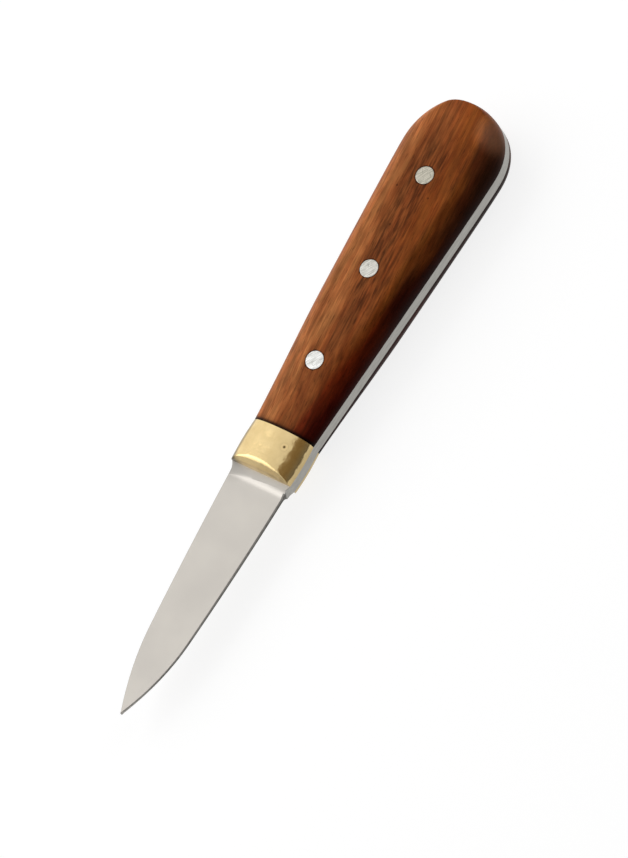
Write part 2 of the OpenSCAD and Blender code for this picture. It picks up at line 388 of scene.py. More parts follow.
satin_steel, tree, shader, millimetres = finish_of("satin_stainless_steel")
belt_lines = add(tree, "ShaderNodeMapping", {"Vector": (millimetres, 0), "Scale": BELT_LINE},
                 vector_type="TEXTURE")
belt_noise = add(tree, "ShaderNodeTexNoise",
                 {"Vector": (belt_lines, 0), "Scale": 1.0, "Detail": 3.0})
cloudy = add(tree, "ShaderNodeTexNoise",
             {"Vector": (millimetres, 0), "Scale": CLOUDS_PER_MM, "Detail": 2.0})
steel_tone = add(tree, "ShaderNodeValToRGB", {"Fac": (cloudy, "Fac")},
                 ramp=[(0.3, "#c3beb7"), (0.75, "#cbc6be")])
steel_place = add(tree, "ShaderNodeSeparateXYZ", {"Vector": (millimetres, 0)})
heel_dull = add(tree, "ShaderNodeMapRange",
                {"Value": (steel_place, "X"), "From Min": tip_x + upper_grind.start_x,
                 "From Max": tip_x + upper_grind.start_x + 0.8, "To Min": 1.0, "To Max": 0.86})
# The corner where the cutting edge meets the heel is painted dark: painted shade of the shadowed
# step under the edge. The face by the back, at the brass, is painted darker: a painted reflection
# of the dirty brass corner beside it.
from_heel_corner = add(tree, "ShaderNodeVectorMath",
                       {0: (millimetres, 0), 1: on_knife(*HEEL_CORNER)}, operation="DISTANCE")
heel_corner_shade = add(tree, "ShaderNodeMapRange",
               {"Value": (from_heel_corner, "Value"), "From Min": 0.45, "From Max": 0.85,
                "To Min": 0.1, "To Max": 1.0})
from_back_corner = add(tree, "ShaderNodeVectorMath",
                       {0: (millimetres, 0), 1: on_knife(*BACK_CORNER)}, operation="DISTANCE")
painted_brass_reflection = add(tree, "ShaderNodeMapRange",
             {"Value": (from_back_corner, "Value"), "From Min": 0.8, "From Max": 5.5,
              "To Min": 0.74, "To Max": 1.0})
steel_shade = heel_dull
for layer in (heel_corner_shade, painted_brass_reflection):
    steel_shade = add(tree, "ShaderNodeMath", {0: (steel_shade, 0), 1: (layer, 0)},
                      operation="MULTIPLY")
steel_colour = add(tree, "ShaderNodeVectorMath",
                   {0: (steel_tone, "Color"), "Scale": (steel_shade, 0)}, operation="SCALE")
belt_rough = add(tree, "ShaderNodeMapRange",
                 {"Value": (belt_noise, "Fac"), "To Min": 0.32, "To Max": 0.42})
belt_bump = add(tree, "ShaderNodeBump",
                {"Height": (belt_noise, "Fac"), "Strength": 0.1, "Distance": 0.02 * MM})
join(tree, shader, {"Metallic": 1.0, "Base Color": (steel_colour, 0), "Roughness": (belt_rough, 0),
                    "Normal": (belt_bump, 0)})
steel.data.materials.append(satin_steel)

# Belt sanded steel: the sides of the tang are sanded together with the wood, along the handle,
# and are duller and greyer than the blade. Part of that grey is painted shade: these sideways faces
# mirror the shaded table. Their lines are drawn coarser too, 0.2 mm apart.
SIDE_LINE = (9.0, 0.2, 0.2)

sanded_steel, tree, shader, millimetres = finish_of("belt_sanded_steel")
side_lines = add(tree, "ShaderNodeMapping", {"Vector": (millimetres, 0), "Scale": SIDE_LINE},
                 vector_type="TEXTURE")
side_noise = add(tree, "ShaderNodeTexNoise",
                 {"Vector": (side_lines, 0), "Scale": 1.0, "Detail": 3.0})
side_tone = add(tree, "ShaderNodeValToRGB", {"Fac": (side_noise, "Fac")},
                ramp=[(0.3, "#9a9893"), (0.7, "#b3b1ab")])
side_rough = add(tree, "ShaderNodeMapRange",
                 {"Value": (side_noise, "Fac"), "To Min": 0.36, "To Max": 0.5})
join(tree, shader, {"Metallic": 1.0, "Base Color": (side_tone, "Color"),
                    "Roughness": (side_rough, 0)})
steel.data.materials.append(sanded_steel)

# Blanked steel: the blunt edge keeps the dark, rough skin left by the press that cut the bar, and
# is painted darker still: painted shade, as this narrow face mirrors the shaded table under it.
# Towards the point, use has worn it brighter.
SKIN_SPOTS_PER_MM = 1.3
WORN_L = 14                 # millimetres from the point

blanked_and_shaded_steel, tree, shader, millimetres = finish_of("blanked_and_shaded_steel_edge")
skin_noise = add(tree, "ShaderNodeTexNoise",
                 {"Vector": (millimetres, 0), "Scale": SKIN_SPOTS_PER_MM, "Detail": 3.0})
skin_tone = add(tree, "ShaderNodeValToRGB", {"Fac": (skin_noise, "Fac")},
                ramp=[(0.3, "#696763"), (0.7, "#7f7d79")])
skin_place = add(tree, "ShaderNodeSeparateXYZ", {"Vector": (millimetres, 0)})
skin_wear = add(tree, "ShaderNodeMapRange",
                {"Value": (skin_place, "X"), "From Min": tip_x, "From Max": tip_x + WORN_L,
                 "To Min": 2.0, "To Max": 1.0})
skin_colour = add(tree, "ShaderNodeVectorMath",
                  {0: (skin_tone, "Color"), "Scale": (skin_wear, 0)}, operation="SCALE")
join(tree, shader, {"Metallic": 1.0, "Roughness": 0.55, "Base Color": (skin_colour, 0)})
steel.data.materials.append(blanked_and_shaded_steel)

# A face has the dark skin if its middle is as close to the cutting edge as the skin's column is.
# It is belt sanded where it looks sideways, or round the butt.
SATIN, SANDED, BLANKED = range(3)
SKIN_MARGIN = 0.02
SIDE_TURN, BUTT_TURN = 0.6, 0.5           # limits of a face's normal, along Y and along Z
for face in steel.data.polygons:
    place = (face.center - point) / MM
    from_edge = place.y + sides_at(place.x)[1]
    skin_reach = EDGE_ARRIS + dark_skin(place.x) / 2 + SKIN_MARGIN
    on_butt = place.x > BLADE_L and abs(face.normal.z) < BUTT_TURN
    sideways = abs(face.normal.y) > SIDE_TURN or on_butt
    if place.x < DARK_EDGE_L and from_edge < skin_reach:
        face.material_index = BLANKED
    else:
        face.material_index = SANDED if sideways else SATIN
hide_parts("blade_and_tang")
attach(steel, "root")


# Bolsters. Two cheeks of cast brass, their crown bevelled off to a rounded nose in front and
# filed level with the wood behind, and held against the steel by one pin.
BOLSTER_H = 4.3
LIP_H = 1.2                 # height of the front face on the steel
NOSE_L = 2.6
NOSE_POWER = 1.4            # of the nose's superellipse, seen from the side
FRONT_HOLLOW = 0.4          # how far the middle of the front is set back
SHOULDER_EASE, NOSE_EASE = 0.3, 0.6       # how softly a crown turns into the flat or the bevel
CROWN_POWER = 2.2           # of the sections' superellipses
NOSE_ROWS, CHEEK_ROWS = 22, 16
ARCH_COLUMNS = 96


def eased(z, cap, ease):
    """A crown's height where it eases into a flat or a bevel of height cap that cuts it off."""
    into = z - cap + ease
    if into <= 0:
        return z
    return cap if into >= 2 * ease else z - into * into / (4 * ease)


def nose_cap(x):
    """Height of the bevel over the bolster, which lies clear of the crown behind the nose."""
    t = min(1, max(0, (BLADE_L + NOSE_L - x) / NOSE_L))
    full = BOLSTER_H + NOSE_EASE
    return LIP_H + (full - LIP_H) * (1 - t ** NOSE_POWER) ** (1 / NOSE_POWER)


def crown_at(x, y, height, cap, ease):
    """Height above the steel of a crowned piece, at a distance y from the centre line."""
    back, edge = sides_at(x)
    share = min(1, abs(y) / (back if y > 0 else edge))
    return eased(height * (1 - share ** CROWN_POWER) ** (1 / CROWN_POWER), cap, ease)


def arch(x, height, cap_at, ease, hollow=0.0):
    """A crowned section over the steel from its back to its edge side, cut off at the height that
    cap_at gives. Hollow sets its middle back by that much."""
    back, edge = sides_at(x)
    points = []
    for i in range(ARCH_COLUMNS + 1):
        a = math.pi * i / ARCH_COLUMNS
        reach = back if math.cos(a) > 0 else -edge
        off = abs(math.cos(a)) ** (2 / CROWN_POWER)
        set_x = x + hollow * (1 - off ** 2)
        top = height * abs(math.sin(a)) ** (2 / CROWN_POWER)
        points.append([set_x, reach * off, half_t + eased(top, cap_at(set_x), ease)])
    return points


def turned_over(loops):
    """The same loops on the other face of the steel."""
    return [[[x, y, -z] for x, y, z in loop] for loop in loops]


# Rows lie close together where the nose is steep, and are even behind it.
cheek = []
for i in range(NOSE_ROWS + 1):
    x = BLADE_L + NOSE_L * (1 - math.cos(math.radians(90 * i / NOSE_ROWS)))
    cheek.append(arch(x, BOLSTER_H, nose_cap, NOSE_EASE, FRONT_HOLLOW))
for i in range(1, CHEEK_ROWS + 1):
    x = BLADE_L + NOSE_L + (BOLSTER_L - NOSE_L) * i / CHEEK_ROWS
    cheek.append(arch(x, BOLSTER_H, nose_cap, NOSE_EASE, FRONT_HOLLOW * (1 - i / CHEEK_ROWS)))
bolsters = []
for name, loops in (("upper_bolster", cheek), ("lower_bolster", turned_over(cheek))):
    bolster = loft(name + "_brass", loops)
    drill(bolster, [bore(PIN_D / 2 + FIT_GAP, pin_x, -PIN_OFF)])
    bolsters.append((bolster, name))

# Polished cast brass: filed and buffed by hand, so its mirror is wavy, and duller where it has
# been handled.
WAVES_PER_MM = 0.33
HANDLING_PER_MM = 0.35
NOSE_CORNER = (BLADE_L + 0.3, 7.8, 2.6)

polished_brass, tree, shader, millimetres = finish_of("polished_cast_brass")
buffing = add(tree, "ShaderNodeTexNoise",
              {"Vector": (millimetres, 0), "Scale": WAVES_PER_MM, "Detail": 2.0})
handling = add(tree, "ShaderNodeTexNoise",
               {"Vector": (millimetres, 0), "Scale": HANDLING_PER_MM, "Detail": 3.0})
brass_tone = add(tree, "ShaderNodeValToRGB", {"Fac": (handling, "Fac")},
                 ramp=[(0.3, "#d6bc87"), (0.65, "#e0c792")])
brass_rough = add(tree, "ShaderNodeMapRange",
                  {"Value": (handling, "Fac"), "To Min": 0.17, "To Max": 0.27})
brass_bump = add(tree, "ShaderNodeBump",
                 {"Height": (buffing, "Fac"), "Strength": 0.7, "Distance": 0.35 * MM})
# It is painted brighter on the back's half: painted light from the lamps on that side. Its nose,
# which faces the point, is painted darker, and so are its borders on the back and on the edge
# side: painted shade and painted dark reflections.
brass_place = add(tree, "ShaderNodeSeparateXYZ", {"Vector": (millimetres, 0)})
back_half_light = add(tree, "ShaderNodeMapRange",
             {"Value": (brass_place, "Y"), "From Min": tip_y - 5.0, "From Max": tip_y + 3.4,
              "To Min": 0.93, "To Max": 1.2})
back_rim_shade = add(tree, "ShaderNodeMapRange",
             {"Value": (brass_place, "Y"), "From Min": tip_y + 6.9, "From Max": tip_y + 7.7,
              "To Min": 1.0, "To Max": 0.4})
from_nose_corner = add(tree, "ShaderNodeVectorMath",
                       {0: (millimetres, 0), 1: on_knife(*NOSE_CORNER)}, operation="DISTANCE")
nose_dirt = add(tree, "ShaderNodeMapRange",
                {"Value": (from_nose_corner, "Value"), "From Min": 0.6, "From Max": 2.8,
                 "To Min": 0.42, "To Max": 1.0})
edge_rim_shade = add(tree, "ShaderNodeMapRange",
               {"Value": (brass_place, "Y"), "From Min": tip_y - 8.8, "From Max": tip_y - 8.3,
                "To Min": 0.78, "To Max": 1.0})
brass_normal = add(tree, "ShaderNodeNewGeometry")
facing_point = add(tree, "ShaderNodeVectorMath",
                   {0: (brass_normal, "Normal"), 1: (-1.0, 0.0, 0.0)}, operation="DOT_PRODUCT")
nose_shade = add(tree, "ShaderNodeMapRange",
                 {"Value": (facing_point, "Value"), "From Min": 0.3, "From Max": 0.6,
                  "To Min": 1.0, "To Max": 0.62})
brass_shade = back_half_light
for layer in (back_rim_shade, edge_rim_shade, nose_shade, nose_dirt):
    brass_shade = add(tree, "ShaderNodeMath", {0: (brass_shade, 0), 1: (layer, 0)},
                      operation="MULTIPLY")
brass_colour = add(tree, "ShaderNodeVectorMath",
                   {0: (brass_tone, "Color"), "Scale": (brass_shade, 0)}, operation="SCALE")
join(tree, shader, {"Metallic": 1.0, "Base Color": (brass_colour, 0),
                    "Roughness": (brass_rough, 0), "Normal": (brass_bump, 0)})
for bolster, name in bolsters:
    bolster.data.materials.clear()
    bolster.data.materials.append(polished_brass)
    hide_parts(name)
    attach(bolster, "root")


# Bolster pin. A length of brass wire through both cheeks and the steel, peened into them and
# filed to their crown, so that only the pit of the centre punch still tells its place.
PIN_RINGS = 8
FILED_H = 0.5               # the rings this close to an end are moved with it


def filed_ends(name, profile, x, y, height_at):
    """A turned pin whose two ends follow the height above the steel that they are filed to."""
    made = turned(name, profile, x, y)
    top = max(z for radius, z in profile)
    for vertex in made.data.vertices:
        place = (vertex.co - point) / MM
        if abs(place.z) > top - FILED_H:
            end = half_t + height_at(place.x, place.y) - (top - abs(place.z))
            vertex.co.z = point.z + math.copysign(end, place.z) * MM
    return made


def both_ends(upper):
    """A profile of radius and height whose lower half mirrors its upper one."""
    return [(radius, -z) for radius, z in upper] + [(radius, z) for radius, z in reversed(upper)]


pin_rings = [(max(HAIR, PIN_D / 2 * i / PIN_RINGS), PAST_KNIFE) for i in range(PIN_RINGS + 1)]
pin = filed_ends("bolster_pin_wire", both_ends(pin_rings), pin_x, -PIN_OFF,
                 lambda x, y: crown_at(x, y, BOLSTER_H, nose_cap(x), NOSE_EASE))

# Filed brass wire: as bright as the bolster at its rim, dull and dark in the pit.
filed_brass, tree, shader, millimetres = finish_of("filed_brass_wire")
pin_plan = add(tree, "ShaderNodeVectorMath", {0: (millimetres, 0), 1: (1.0, 1.0, 0.0)},
               operation="MULTIPLY")
pit_place = (tip_x + pin_x, tip_y - PIN_OFF, 0.0)
from_pit = add(tree, "ShaderNodeVectorMath", {0: (pin_plan, 0), 1: pit_place},
               operation="DISTANCE")
wire_tone = add(tree, "ShaderNodeValToRGB", {"Fac": (from_pit, "Value")},
                ramp=[(0.15, "#5c4a24"), (0.48, "#dcc28d")])
wire_rough = add(tree, "ShaderNodeMapRange",
                 {"Value": (from_pit, "Value"), "From Min": 0.1, "From Max": 0.4,
                  "To Min": 0.6, "To Max": 0.2})
join(tree, shader, {"Metallic": 1.0, "Base Color": (wire_tone, "Color"),
                    "Roughness": (wire_rough, 0)})
pin.data.materials.append(filed_brass)
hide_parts("bolster_pin")
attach(pin, "root")


# Scales. Two crowned halves of an oiled red-brown hardwood, sanded flat along their middle and
# flush with the tang, and drilled and countersunk for the rivets.
SCALE_H = 5.9
CROWN_OVER = 1.5            # how far the full crown would rise above the sanded flat
LAND_START = 21.0           # where that flat begins, behind the brass
END_ROUND = 2.7
JOINT_GAP = 0.1             # filled with cement on the real knife
RIVET_HEAD_D = 4.7
PEEN_H = 1.2                # depth of a countersink

# The crown rises behind the brass in an S-curve, as long as it takes for the flat to begin at
# LAND_START. The sine undoes that curve.
crown_h = SCALE_H + CROWN_OVER
lie_z = half_t + SCALE_H
land_share = (SCALE_H + SHOULDER_EASE - BOLSTER_H) / (crown_h - BOLSTER_H)
rise_l = LAND_START / (0.5 - math.sin(math.asin(1 - 2 * land_share) / 3))


def wood_h(x):
    """Height of the full crown: level with the brass at the joint, rounded down at the end."""
    t = min(1, (x - joint_x) / rise_l)
    q = min(1, max(0, 1 - (OVERALL_L - x) / END_ROUND))
    return (BOLSTER_H + (crown_h - BOLSTER_H) * t * t * (3 - 2 * t)) * math.sqrt(1 - q ** 2)


half_handle = [arch(x, wood_h(x), lambda x: SCALE_H, SHOULDER_EASE)
               for x in [joint_x + JOINT_GAP] + handle_xs[1:]]
# The cutter's cones go on past the flats, as far as the countersinks are deep.
shank_r = RIVET_D / 2 + FIT_GAP
slope = (RIVET_HEAD_D - RIVET_D) / 2 / PEEN_H
countersunk = [(shank_r + slope * 2 * PEEN_H, -lie_z - PEEN_H), (shank_r, -lie_z + PEEN_H),
               (shank_r, lie_z - PEEN_H), (shank_r + slope * 2 * PEEN_H, lie_z + PEEN_H)]
scales = []
for name, loops in (("upper_scale", half_handle), ("lower_scale", turned_over(half_handle))):
    scale = loft(name + "_wood", loops)
    drill(scale, [turned("rivet_bore", countersunk, x, 0) for x in rivet_xs])
    scales.append((scale, name))

# Oiled red-brown hardwood: streaky, open-pored and sanded smooth, so it hardly shines. Its grain
# leans a few degrees off the handle's length. The real fibres and pores are a tenth of a
# millimetre wide or less. They are drawn coarser, so that they show in the render: the fibres
# about a third of one wide, the pores as dark ticks a quarter of one wide.
GRAIN_LEAN = 4              # degrees
BAND_DRIFT = (38.0, 7.0, 7.0)
STREAK = (13.0, 0.8, 0.8)
FIBRE = (7.0, 0.32, 0.32)
PORE = (2.6, 0.24, 0.24)
DASH = (5.0, 0.7, 0.7)
BLOTCH = (6.0, 2.4, 2.4)
HUE_PATCH = (8.0, 1.8, 1.8)
KNOTS_PER_MM = 0.13
BUTT_CORNER = (OVERALL_L - 5, -10.5, 5.5)
EDGE_SIDE_LEAN, SHOULDER_LEAN = 0.16, 0.05    # how far each border leans in, per length of handle

oiled_hardwood, tree, shader, millimetres = finish_of("oiled_red_brown_hardwood")
wood_place = add(tree, "ShaderNodeSeparateXYZ", {"Vector": (millimetres, 0)})
grain = add(tree, "ShaderNodeMapping",
            {"Vector": (millimetres, 0), "Rotation": (0, 0, math.radians(GRAIN_LEAN))},
            vector_type="TEXTURE")
# Seven patterns lie stretched along the grain, each with its size, detail and distortion.
patterns = []
for size, detail, distortion in ((BAND_DRIFT, 3.0, 0.0), (STREAK, 4.0, 0.5), (FIBRE, 3.0, 0.0),
                                 (PORE, 1.0, 0.0), (BLOTCH, 2.0, 0.0), (DASH, 3.0, 0.0),
                                 (HUE_PATCH, 2.0, 0.0)):
    stretched = add(tree, "ShaderNodeMapping", {"Vector": (grain, 0), "Scale": size},
                    vector_type="TEXTURE")
    patterns.append(add(tree, "ShaderNodeTexNoise",
                        {"Vector": (stretched, 0), "Scale": 1.0, "Detail": detail,
                         "Distortion": distortion}))
drift, streaks, fibres, pores, blotches, dashes, hues = patterns
# Broad growth bands lie side by side across the grain: light on the back's side, a dark streaky
# one under the rivets, orange, then maroon.
drift_mm = add(tree, "ShaderNodeMapRange",
               {"Value": (drift, "Fac"), "From Min": 0.25, "From Max": 0.75,
                "To Min": -3.0, "To Max": 3.0})
grain_place = add(tree, "ShaderNodeSeparateXYZ", {"Vector": (grain, 0)})
across_mm = add(tree, "ShaderNodeMath", {0: (grain_place, "Y"), 1: (drift_mm, 0)},
                operation="ADD")
band = add(tree, "ShaderNodeMapRange",
           {"Value": (across_mm, 0), "From Min": -18.0, "From Max": 12.0})
band_tone = add(tree, "ShaderNodeValToRGB", {"Fac": (band, 0)},
                ramp=[(0.0, "#402011"), (1.0, "#a56641"), (0.13, "#582b15"), (0.21, "#78411a"),
                      (0.32, "#8a491f"), (0.45, "#8e4f29"), (0.56, "#8b4f2b"),
                      (0.615, "#93552e"), (0.67, "#b06f42")])
# Streaks a millimetre wide, fibres a third of one, pores, blotches some millimetres long, and the
# dashes of the figure. From the start to the end of a stretch of the pattern, the tone changes.
tones = []
for pattern, start, end, tone_at_start, tone_at_end in (
        (streaks, 0.3, 0.7, 0.7, 1.3), (fibres, 0.3, 0.7, 0.86, 1.14), (pores, 0.6, 0.72, 1.0, 0.6),
        (blotches, 0.3, 0.7, 0.78, 1.22), (dashes, 0.36, 0.6, 0.38, 1.0)):
    tones.append(add(tree, "ShaderNodeMapRange",
                     {"Value": (pattern, "Fac"), "From Min": start, "From Max": end,
                      "To Min": tone_at_start, "To Max": tone_at_end}))
streak_tone, fibre_tone, pore_tone, blotch_tone, dash_tone = tones
# A figure of dark dashes lies along the grain under the two rear rivets.
figure_start = add(tree, "ShaderNodeMapRange",
                   {"Value": (grain_place, "X"), "From Min": 14.0, "From Max": 30.0},
                   interpolation_type="SMOOTHSTEP")
figure_end = add(tree, "ShaderNodeMapRange",
                 {"Value": (grain_place, "X"), "From Min": 78.0, "From Max": 66.0},
                 interpolation_type="SMOOTHSTEP")
figure_back = add(tree, "ShaderNodeMapRange",
                  {"Value": (across_mm, 0), "From Min": 1.2, "From Max": -1.0})
figure_edge = add(tree, "ShaderNodeMapRange",
                  {"Value": (across_mm, 0), "From Min": -9.0, "From Max": -5.5})
figure = figure_start
for limit in (figure_end, figure_back, figure_edge):
    figure = add(tree, "ShaderNodeMath", {0: (figure, 0), 1: (limit, 0)}, operation="MULTIPLY")
figure_tone = add(tree, "ShaderNodeMix", {"Factor": (figure, 0), "A": 1.0, "B": (dash_tone, 0)})
# Dirt and painted shade darken the wood just behind the brass, with a dark line of cement at the
# joint. Oil and dirt leave an uneven dark ring round each rivet.
joint_row_x = tip_x + joint_x + JOINT_GAP
joint_soft = add(tree, "ShaderNodeMapRange",
                 {"Value": (wood_place, "X"), "From Min": joint_row_x,
                  "From Max": joint_row_x + 1.8, "To Min": 0.5, "To Max": 1.0})
joint_line = add(tree, "ShaderNodeMapRange",
                 {"Value": (wood_place, "X"), "From Min": joint_row_x + 0.3,
                  "From Max": joint_row_x + 0.9, "To Min": 0.15, "To Max": 1.0})
wood_plan = add(tree, "ShaderNodeVectorMath", {0: (millimetres, 0), 1: (1.0, 1.0, 0.0)},
                operation="MULTIPLY")
from_rivets = []
for x in rivet_xs:
    centre = (tip_x + x, tip_y, 0.0)
    from_rivets.append(add(tree, "ShaderNodeVectorMath", {0: (wood_plan, 0), 1: centre},
                           operation="DISTANCE"))
nearer = add(tree, "ShaderNodeMath",
             {0: (from_rivets[0], "Value"), 1: (from_rivets[1], "Value")}, operation="MINIMUM")
nearest = add(tree, "ShaderNodeMath", {0: (nearer, 0), 1: (from_rivets[2], "Value")},
              operation="MINIMUM")
ring_reach = add(tree, "ShaderNodeMapRange",
                 {"Value": (streaks, "Fac"), "From Min": 0.3, "From Max": 0.7,
                  "To Min": -0.2, "To Max": 0.2})
ring_place = add(tree, "ShaderNodeMath", {0: (nearest, 0), 1: (ring_reach, 0)}, operation="ADD")
ring_tone = add(tree, "ShaderNodeMapRange",
                {"Value": (ring_place, 0), "From Min": 2.45, "From Max": 2.75,
                 "To Min": 0.3, "To Max": 1.0})
# The wood is paler towards the butt. Its corner on the cutting edge's side is painted paler still:
# painted light, for a corner that turns away from the lamps.
butt_tone = add(tree, "ShaderNodeMapRange",
                {"Value": (wood_place, "X"), "From Min": tip_x + belly_x - 4,
                 "From Max": tip_x + belly_x + 9, "To Min": 1.0, "To Max": 1.15})
from_butt_corner = add(tree, "ShaderNodeVectorMath",
                       {0: (millimetres, 0), 1: on_knife(*BUTT_CORNER)}, operation="DISTANCE")
corner_painted_light = add(tree, "ShaderNodeMapRange",
                  {"Value": (from_butt_corner, "Value"), "From Min": 2.0, "From Max": 8.0,
                   "To Min": 1.9, "To Max": 1.0}, interpolation_type="SMOOTHSTEP")
corner_painted_pale = add(tree, "ShaderNodeMapRange",
                {"Value": (from_butt_corner, "Value"), "From Min": 2.0, "From Max": 7.0,
                 "To Min": 0.4, "To Max": 0.0}, interpolation_type="SMOOTHSTEP")
# The cutting edge's side of the front of the handle is painted near-black and redder: painted
# shade of that side, which turns away from the lamps.
edge_side_lean = add(tree, "ShaderNodeMath", {0: (wood_place, "X"), 1: EDGE_SIDE_LEAN},
                 operation="MULTIPLY")
edge_side_mm = add(tree, "ShaderNodeMath", {0: (wood_place, "Y"), 1: (edge_side_lean, 0)},
               operation="ADD")
shade_border_wave = add(tree, "ShaderNodeMath", {0: (drift_mm, 0), 1: 0.3}, operation="MULTIPLY")
edge_side_border = add(tree, "ShaderNodeMath", {0: (edge_side_mm, 0), 1: (shade_border_wave, 0)},
                 operation="ADD")
edge_side_shade = add(tree, "ShaderNodeMapRange",
            {"Value": (edge_side_border, 0), "From Min": -7.4, "From Max": -3.2})
edge_side_shade_tone = add(tree, "ShaderNodeValToRGB", {"Fac": (edge_side_shade, 0)},
                 ramp=[(0.0, "#844c62"), (1.0, "#ffffff"), (0.55, "#d29c9a")])
# The shoulder over the cutting edge's side is painted darker, less towards the butt: painted
# shade where it turns away from the lamps.
shoulder_lean = add(tree, "ShaderNodeMath", {0: (wood_place, "X"), 1: SHOULDER_LEAN},
                    operation="MULTIPLY")
shoulder_mm = add(tree, "ShaderNodeMath", {0: (wood_place, "Y"), 1: (shoulder_lean, 0)},
                  operation="ADD")
shoulder_edge = add(tree, "ShaderNodeMath", {0: (shoulder_mm, 0), 1: (shade_border_wave, 0)},
                    operation="ADD")
shoulder_shade = add(tree, "ShaderNodeMapRange",
                    {"Value": (shoulder_edge, 0), "From Min": -12.0, "From Max": -7.7,
                     "To Min": 0.25, "To Max": 1.0})
# Pin knots: a few small dark dots.
knots = add(tree, "ShaderNodeTexVoronoi",
            {"Vector": (millimetres, 0), "Scale": KNOTS_PER_MM, "Randomness": 1.0})
knot_tone = add(tree, "ShaderNodeMapRange",
                {"Value": (knots, "Distance"), "From Min": 0.022, "From Max": 0.05,
                 "To Min": 0.45, "To Max": 1.0})
wood_shade = streak_tone
for layer in (fibre_tone, pore_tone, blotch_tone, figure_tone, shoulder_shade, butt_tone,
              corner_painted_light, knot_tone, joint_soft, joint_line, ring_tone):
    wood_shade = add(tree, "ShaderNodeMath", {0: (wood_shade, 0), 1: (layer, 0)},
                     operation="MULTIPLY")
# Patches of redder and of yellower wood, some millimetres long.
hue_tone = add(tree, "ShaderNodeValToRGB", {"Fac": (hues, "Fac")},
               ramp=[(0.36, "#faeade"), (0.64, "#fffff4")])
wood_hue = band_tone
for layer in (edge_side_shade_tone, hue_tone):
    wood_hue = add(tree, "ShaderNodeVectorMath", {0: (wood_hue, 0), 1: (layer, "Color")},
                   operation="MULTIPLY")
shaded_wood = add(tree, "ShaderNodeVectorMath", {0: (wood_hue, 0), "Scale": (wood_shade, 0)},
                  operation="SCALE")
wood_colour = add(tree, "ShaderNodeMix",
                  {"Factor": (corner_painted_pale, 0), "A": (shaded_wood, 0), "B": linear("#a87a5c")[:3]},
                  data_type="VECTOR")
wood_rough = add(tree, "ShaderNodeMapRange",
                 {"Value": (fibres, "Fac"), "To Min": 0.5, "To Max": 0.36})
pore_bump = add(tree, "ShaderNodeBump",
                {"Height": (pore_tone, 0), "Strength": 0.35, "Distance": 0.04 * MM})
fibre_bump = add(tree, "ShaderNodeBump",
                 {"Height": (fibres, "Fac"), "Strength": 0.15, "Distance": 0.04 * MM,
                  "Normal": (pore_bump, 0)})
join(tree, shader, {"IOR": 1.45, "Specular IOR Level": 0.06,
                    "Base Color": (wood_colour, "Result"), "Roughness": (wood_rough, 0),
                    "Normal": (fibre_bump, 0)})
for scale, name in scales:
    scale.data.materials.clear()
    scale.data.materials.append(oiled_hardwood)
    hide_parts(name)
    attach(scale, "root")


# Rivets. Solid soft-metal rivets right through both scales and the tang, their ends spread into
# the countersinks with a hammer and sanded flush with the wood.
RIM_EASE = 0.06             # how far the rim of a head is rounded off
RIM_BULGE = 0.3             # how far in the middle of that round lies, as a share of it
HEAD_RINGS = 12
HEAD_FLAT = 0.996           # the rings' share of the head's radius

head_r = RIVET_HEAD_D / 2
head = [(max(HAIR, head_r * HEAD_FLAT * i / HEAD_RINGS), lie_z) for i in range(HEAD_RINGS)]
head += [(head_r - RIM_EASE, lie_z),
         (head_r - RIM_BULGE * RIM_EASE, lie_z - RIM_BULGE * RIM_EASE),
         (head_r, lie_z - RIM_EASE), (RIVET_D / 2, lie_z - PEEN_H)]
rivets = []
for name, x in zip(("front_rivet", "middle_rivet", "rear_rivet"), rivet_xs):
    rivet = filed_ends(name + "_metal", both_ends(head), x, 0,
                       lambda x, y: crown_at(x, y, wood_h(x), SCALE_H, SHOULDER_EASE))
    rivets.append((rivet, name))

# Soft white metal: sanded with the wood in one direction, with a few deeper scratches and the
# dark cracks that the hammer opened near the rim. Its lines are drawn coarser than real sanding
# leaves them, so that they show on so small a head.
SANDING_LINE, SANDING_TURN = (2.2, 0.16, 1.0), -35    # millimetres, degrees
SCORE, SCORE_TURN = (1.7, 0.3, 1.0), 38

sanded_rivet, tree, shader, millimetres = finish_of("sanded_soft_rivet_metal")
sanding = add(tree, "ShaderNodeMapping",
              {"Vector": (millimetres, 0), "Scale": SANDING_LINE,
               "Rotation": (0, 0, math.radians(SANDING_TURN))}, vector_type="TEXTURE")
sanding_lines = add(tree, "ShaderNodeTexNoise",
                    {"Vector": (sanding, 0), "Scale": 1.0, "Detail": 3.0})
rivet_tone = add(tree, "ShaderNodeValToRGB", {"Fac": (sanding_lines, "Fac")},
                 ramp=[(0.34, "#b4b5b0"), (0.6, "#ececea")])
scoring = add(tree, "ShaderNodeMapping",
              {"Vector": (millimetres, 0), "Scale": SCORE,
               "Rotation": (0, 0, math.radians(SCORE_TURN))}, vector_type="TEXTURE")
scores = add(tree, "ShaderNodeTexNoise", {"Vector": (scoring, 0), "Scale": 1.0, "Detail": 2.0})
crack_tone = add(tree, "ShaderNodeMapRange",
                 {"Value": (scores, "Fac"), "From Min": 0.62, "From Max": 0.7,
                  "To Min": 1.0, "To Max": 0.6})
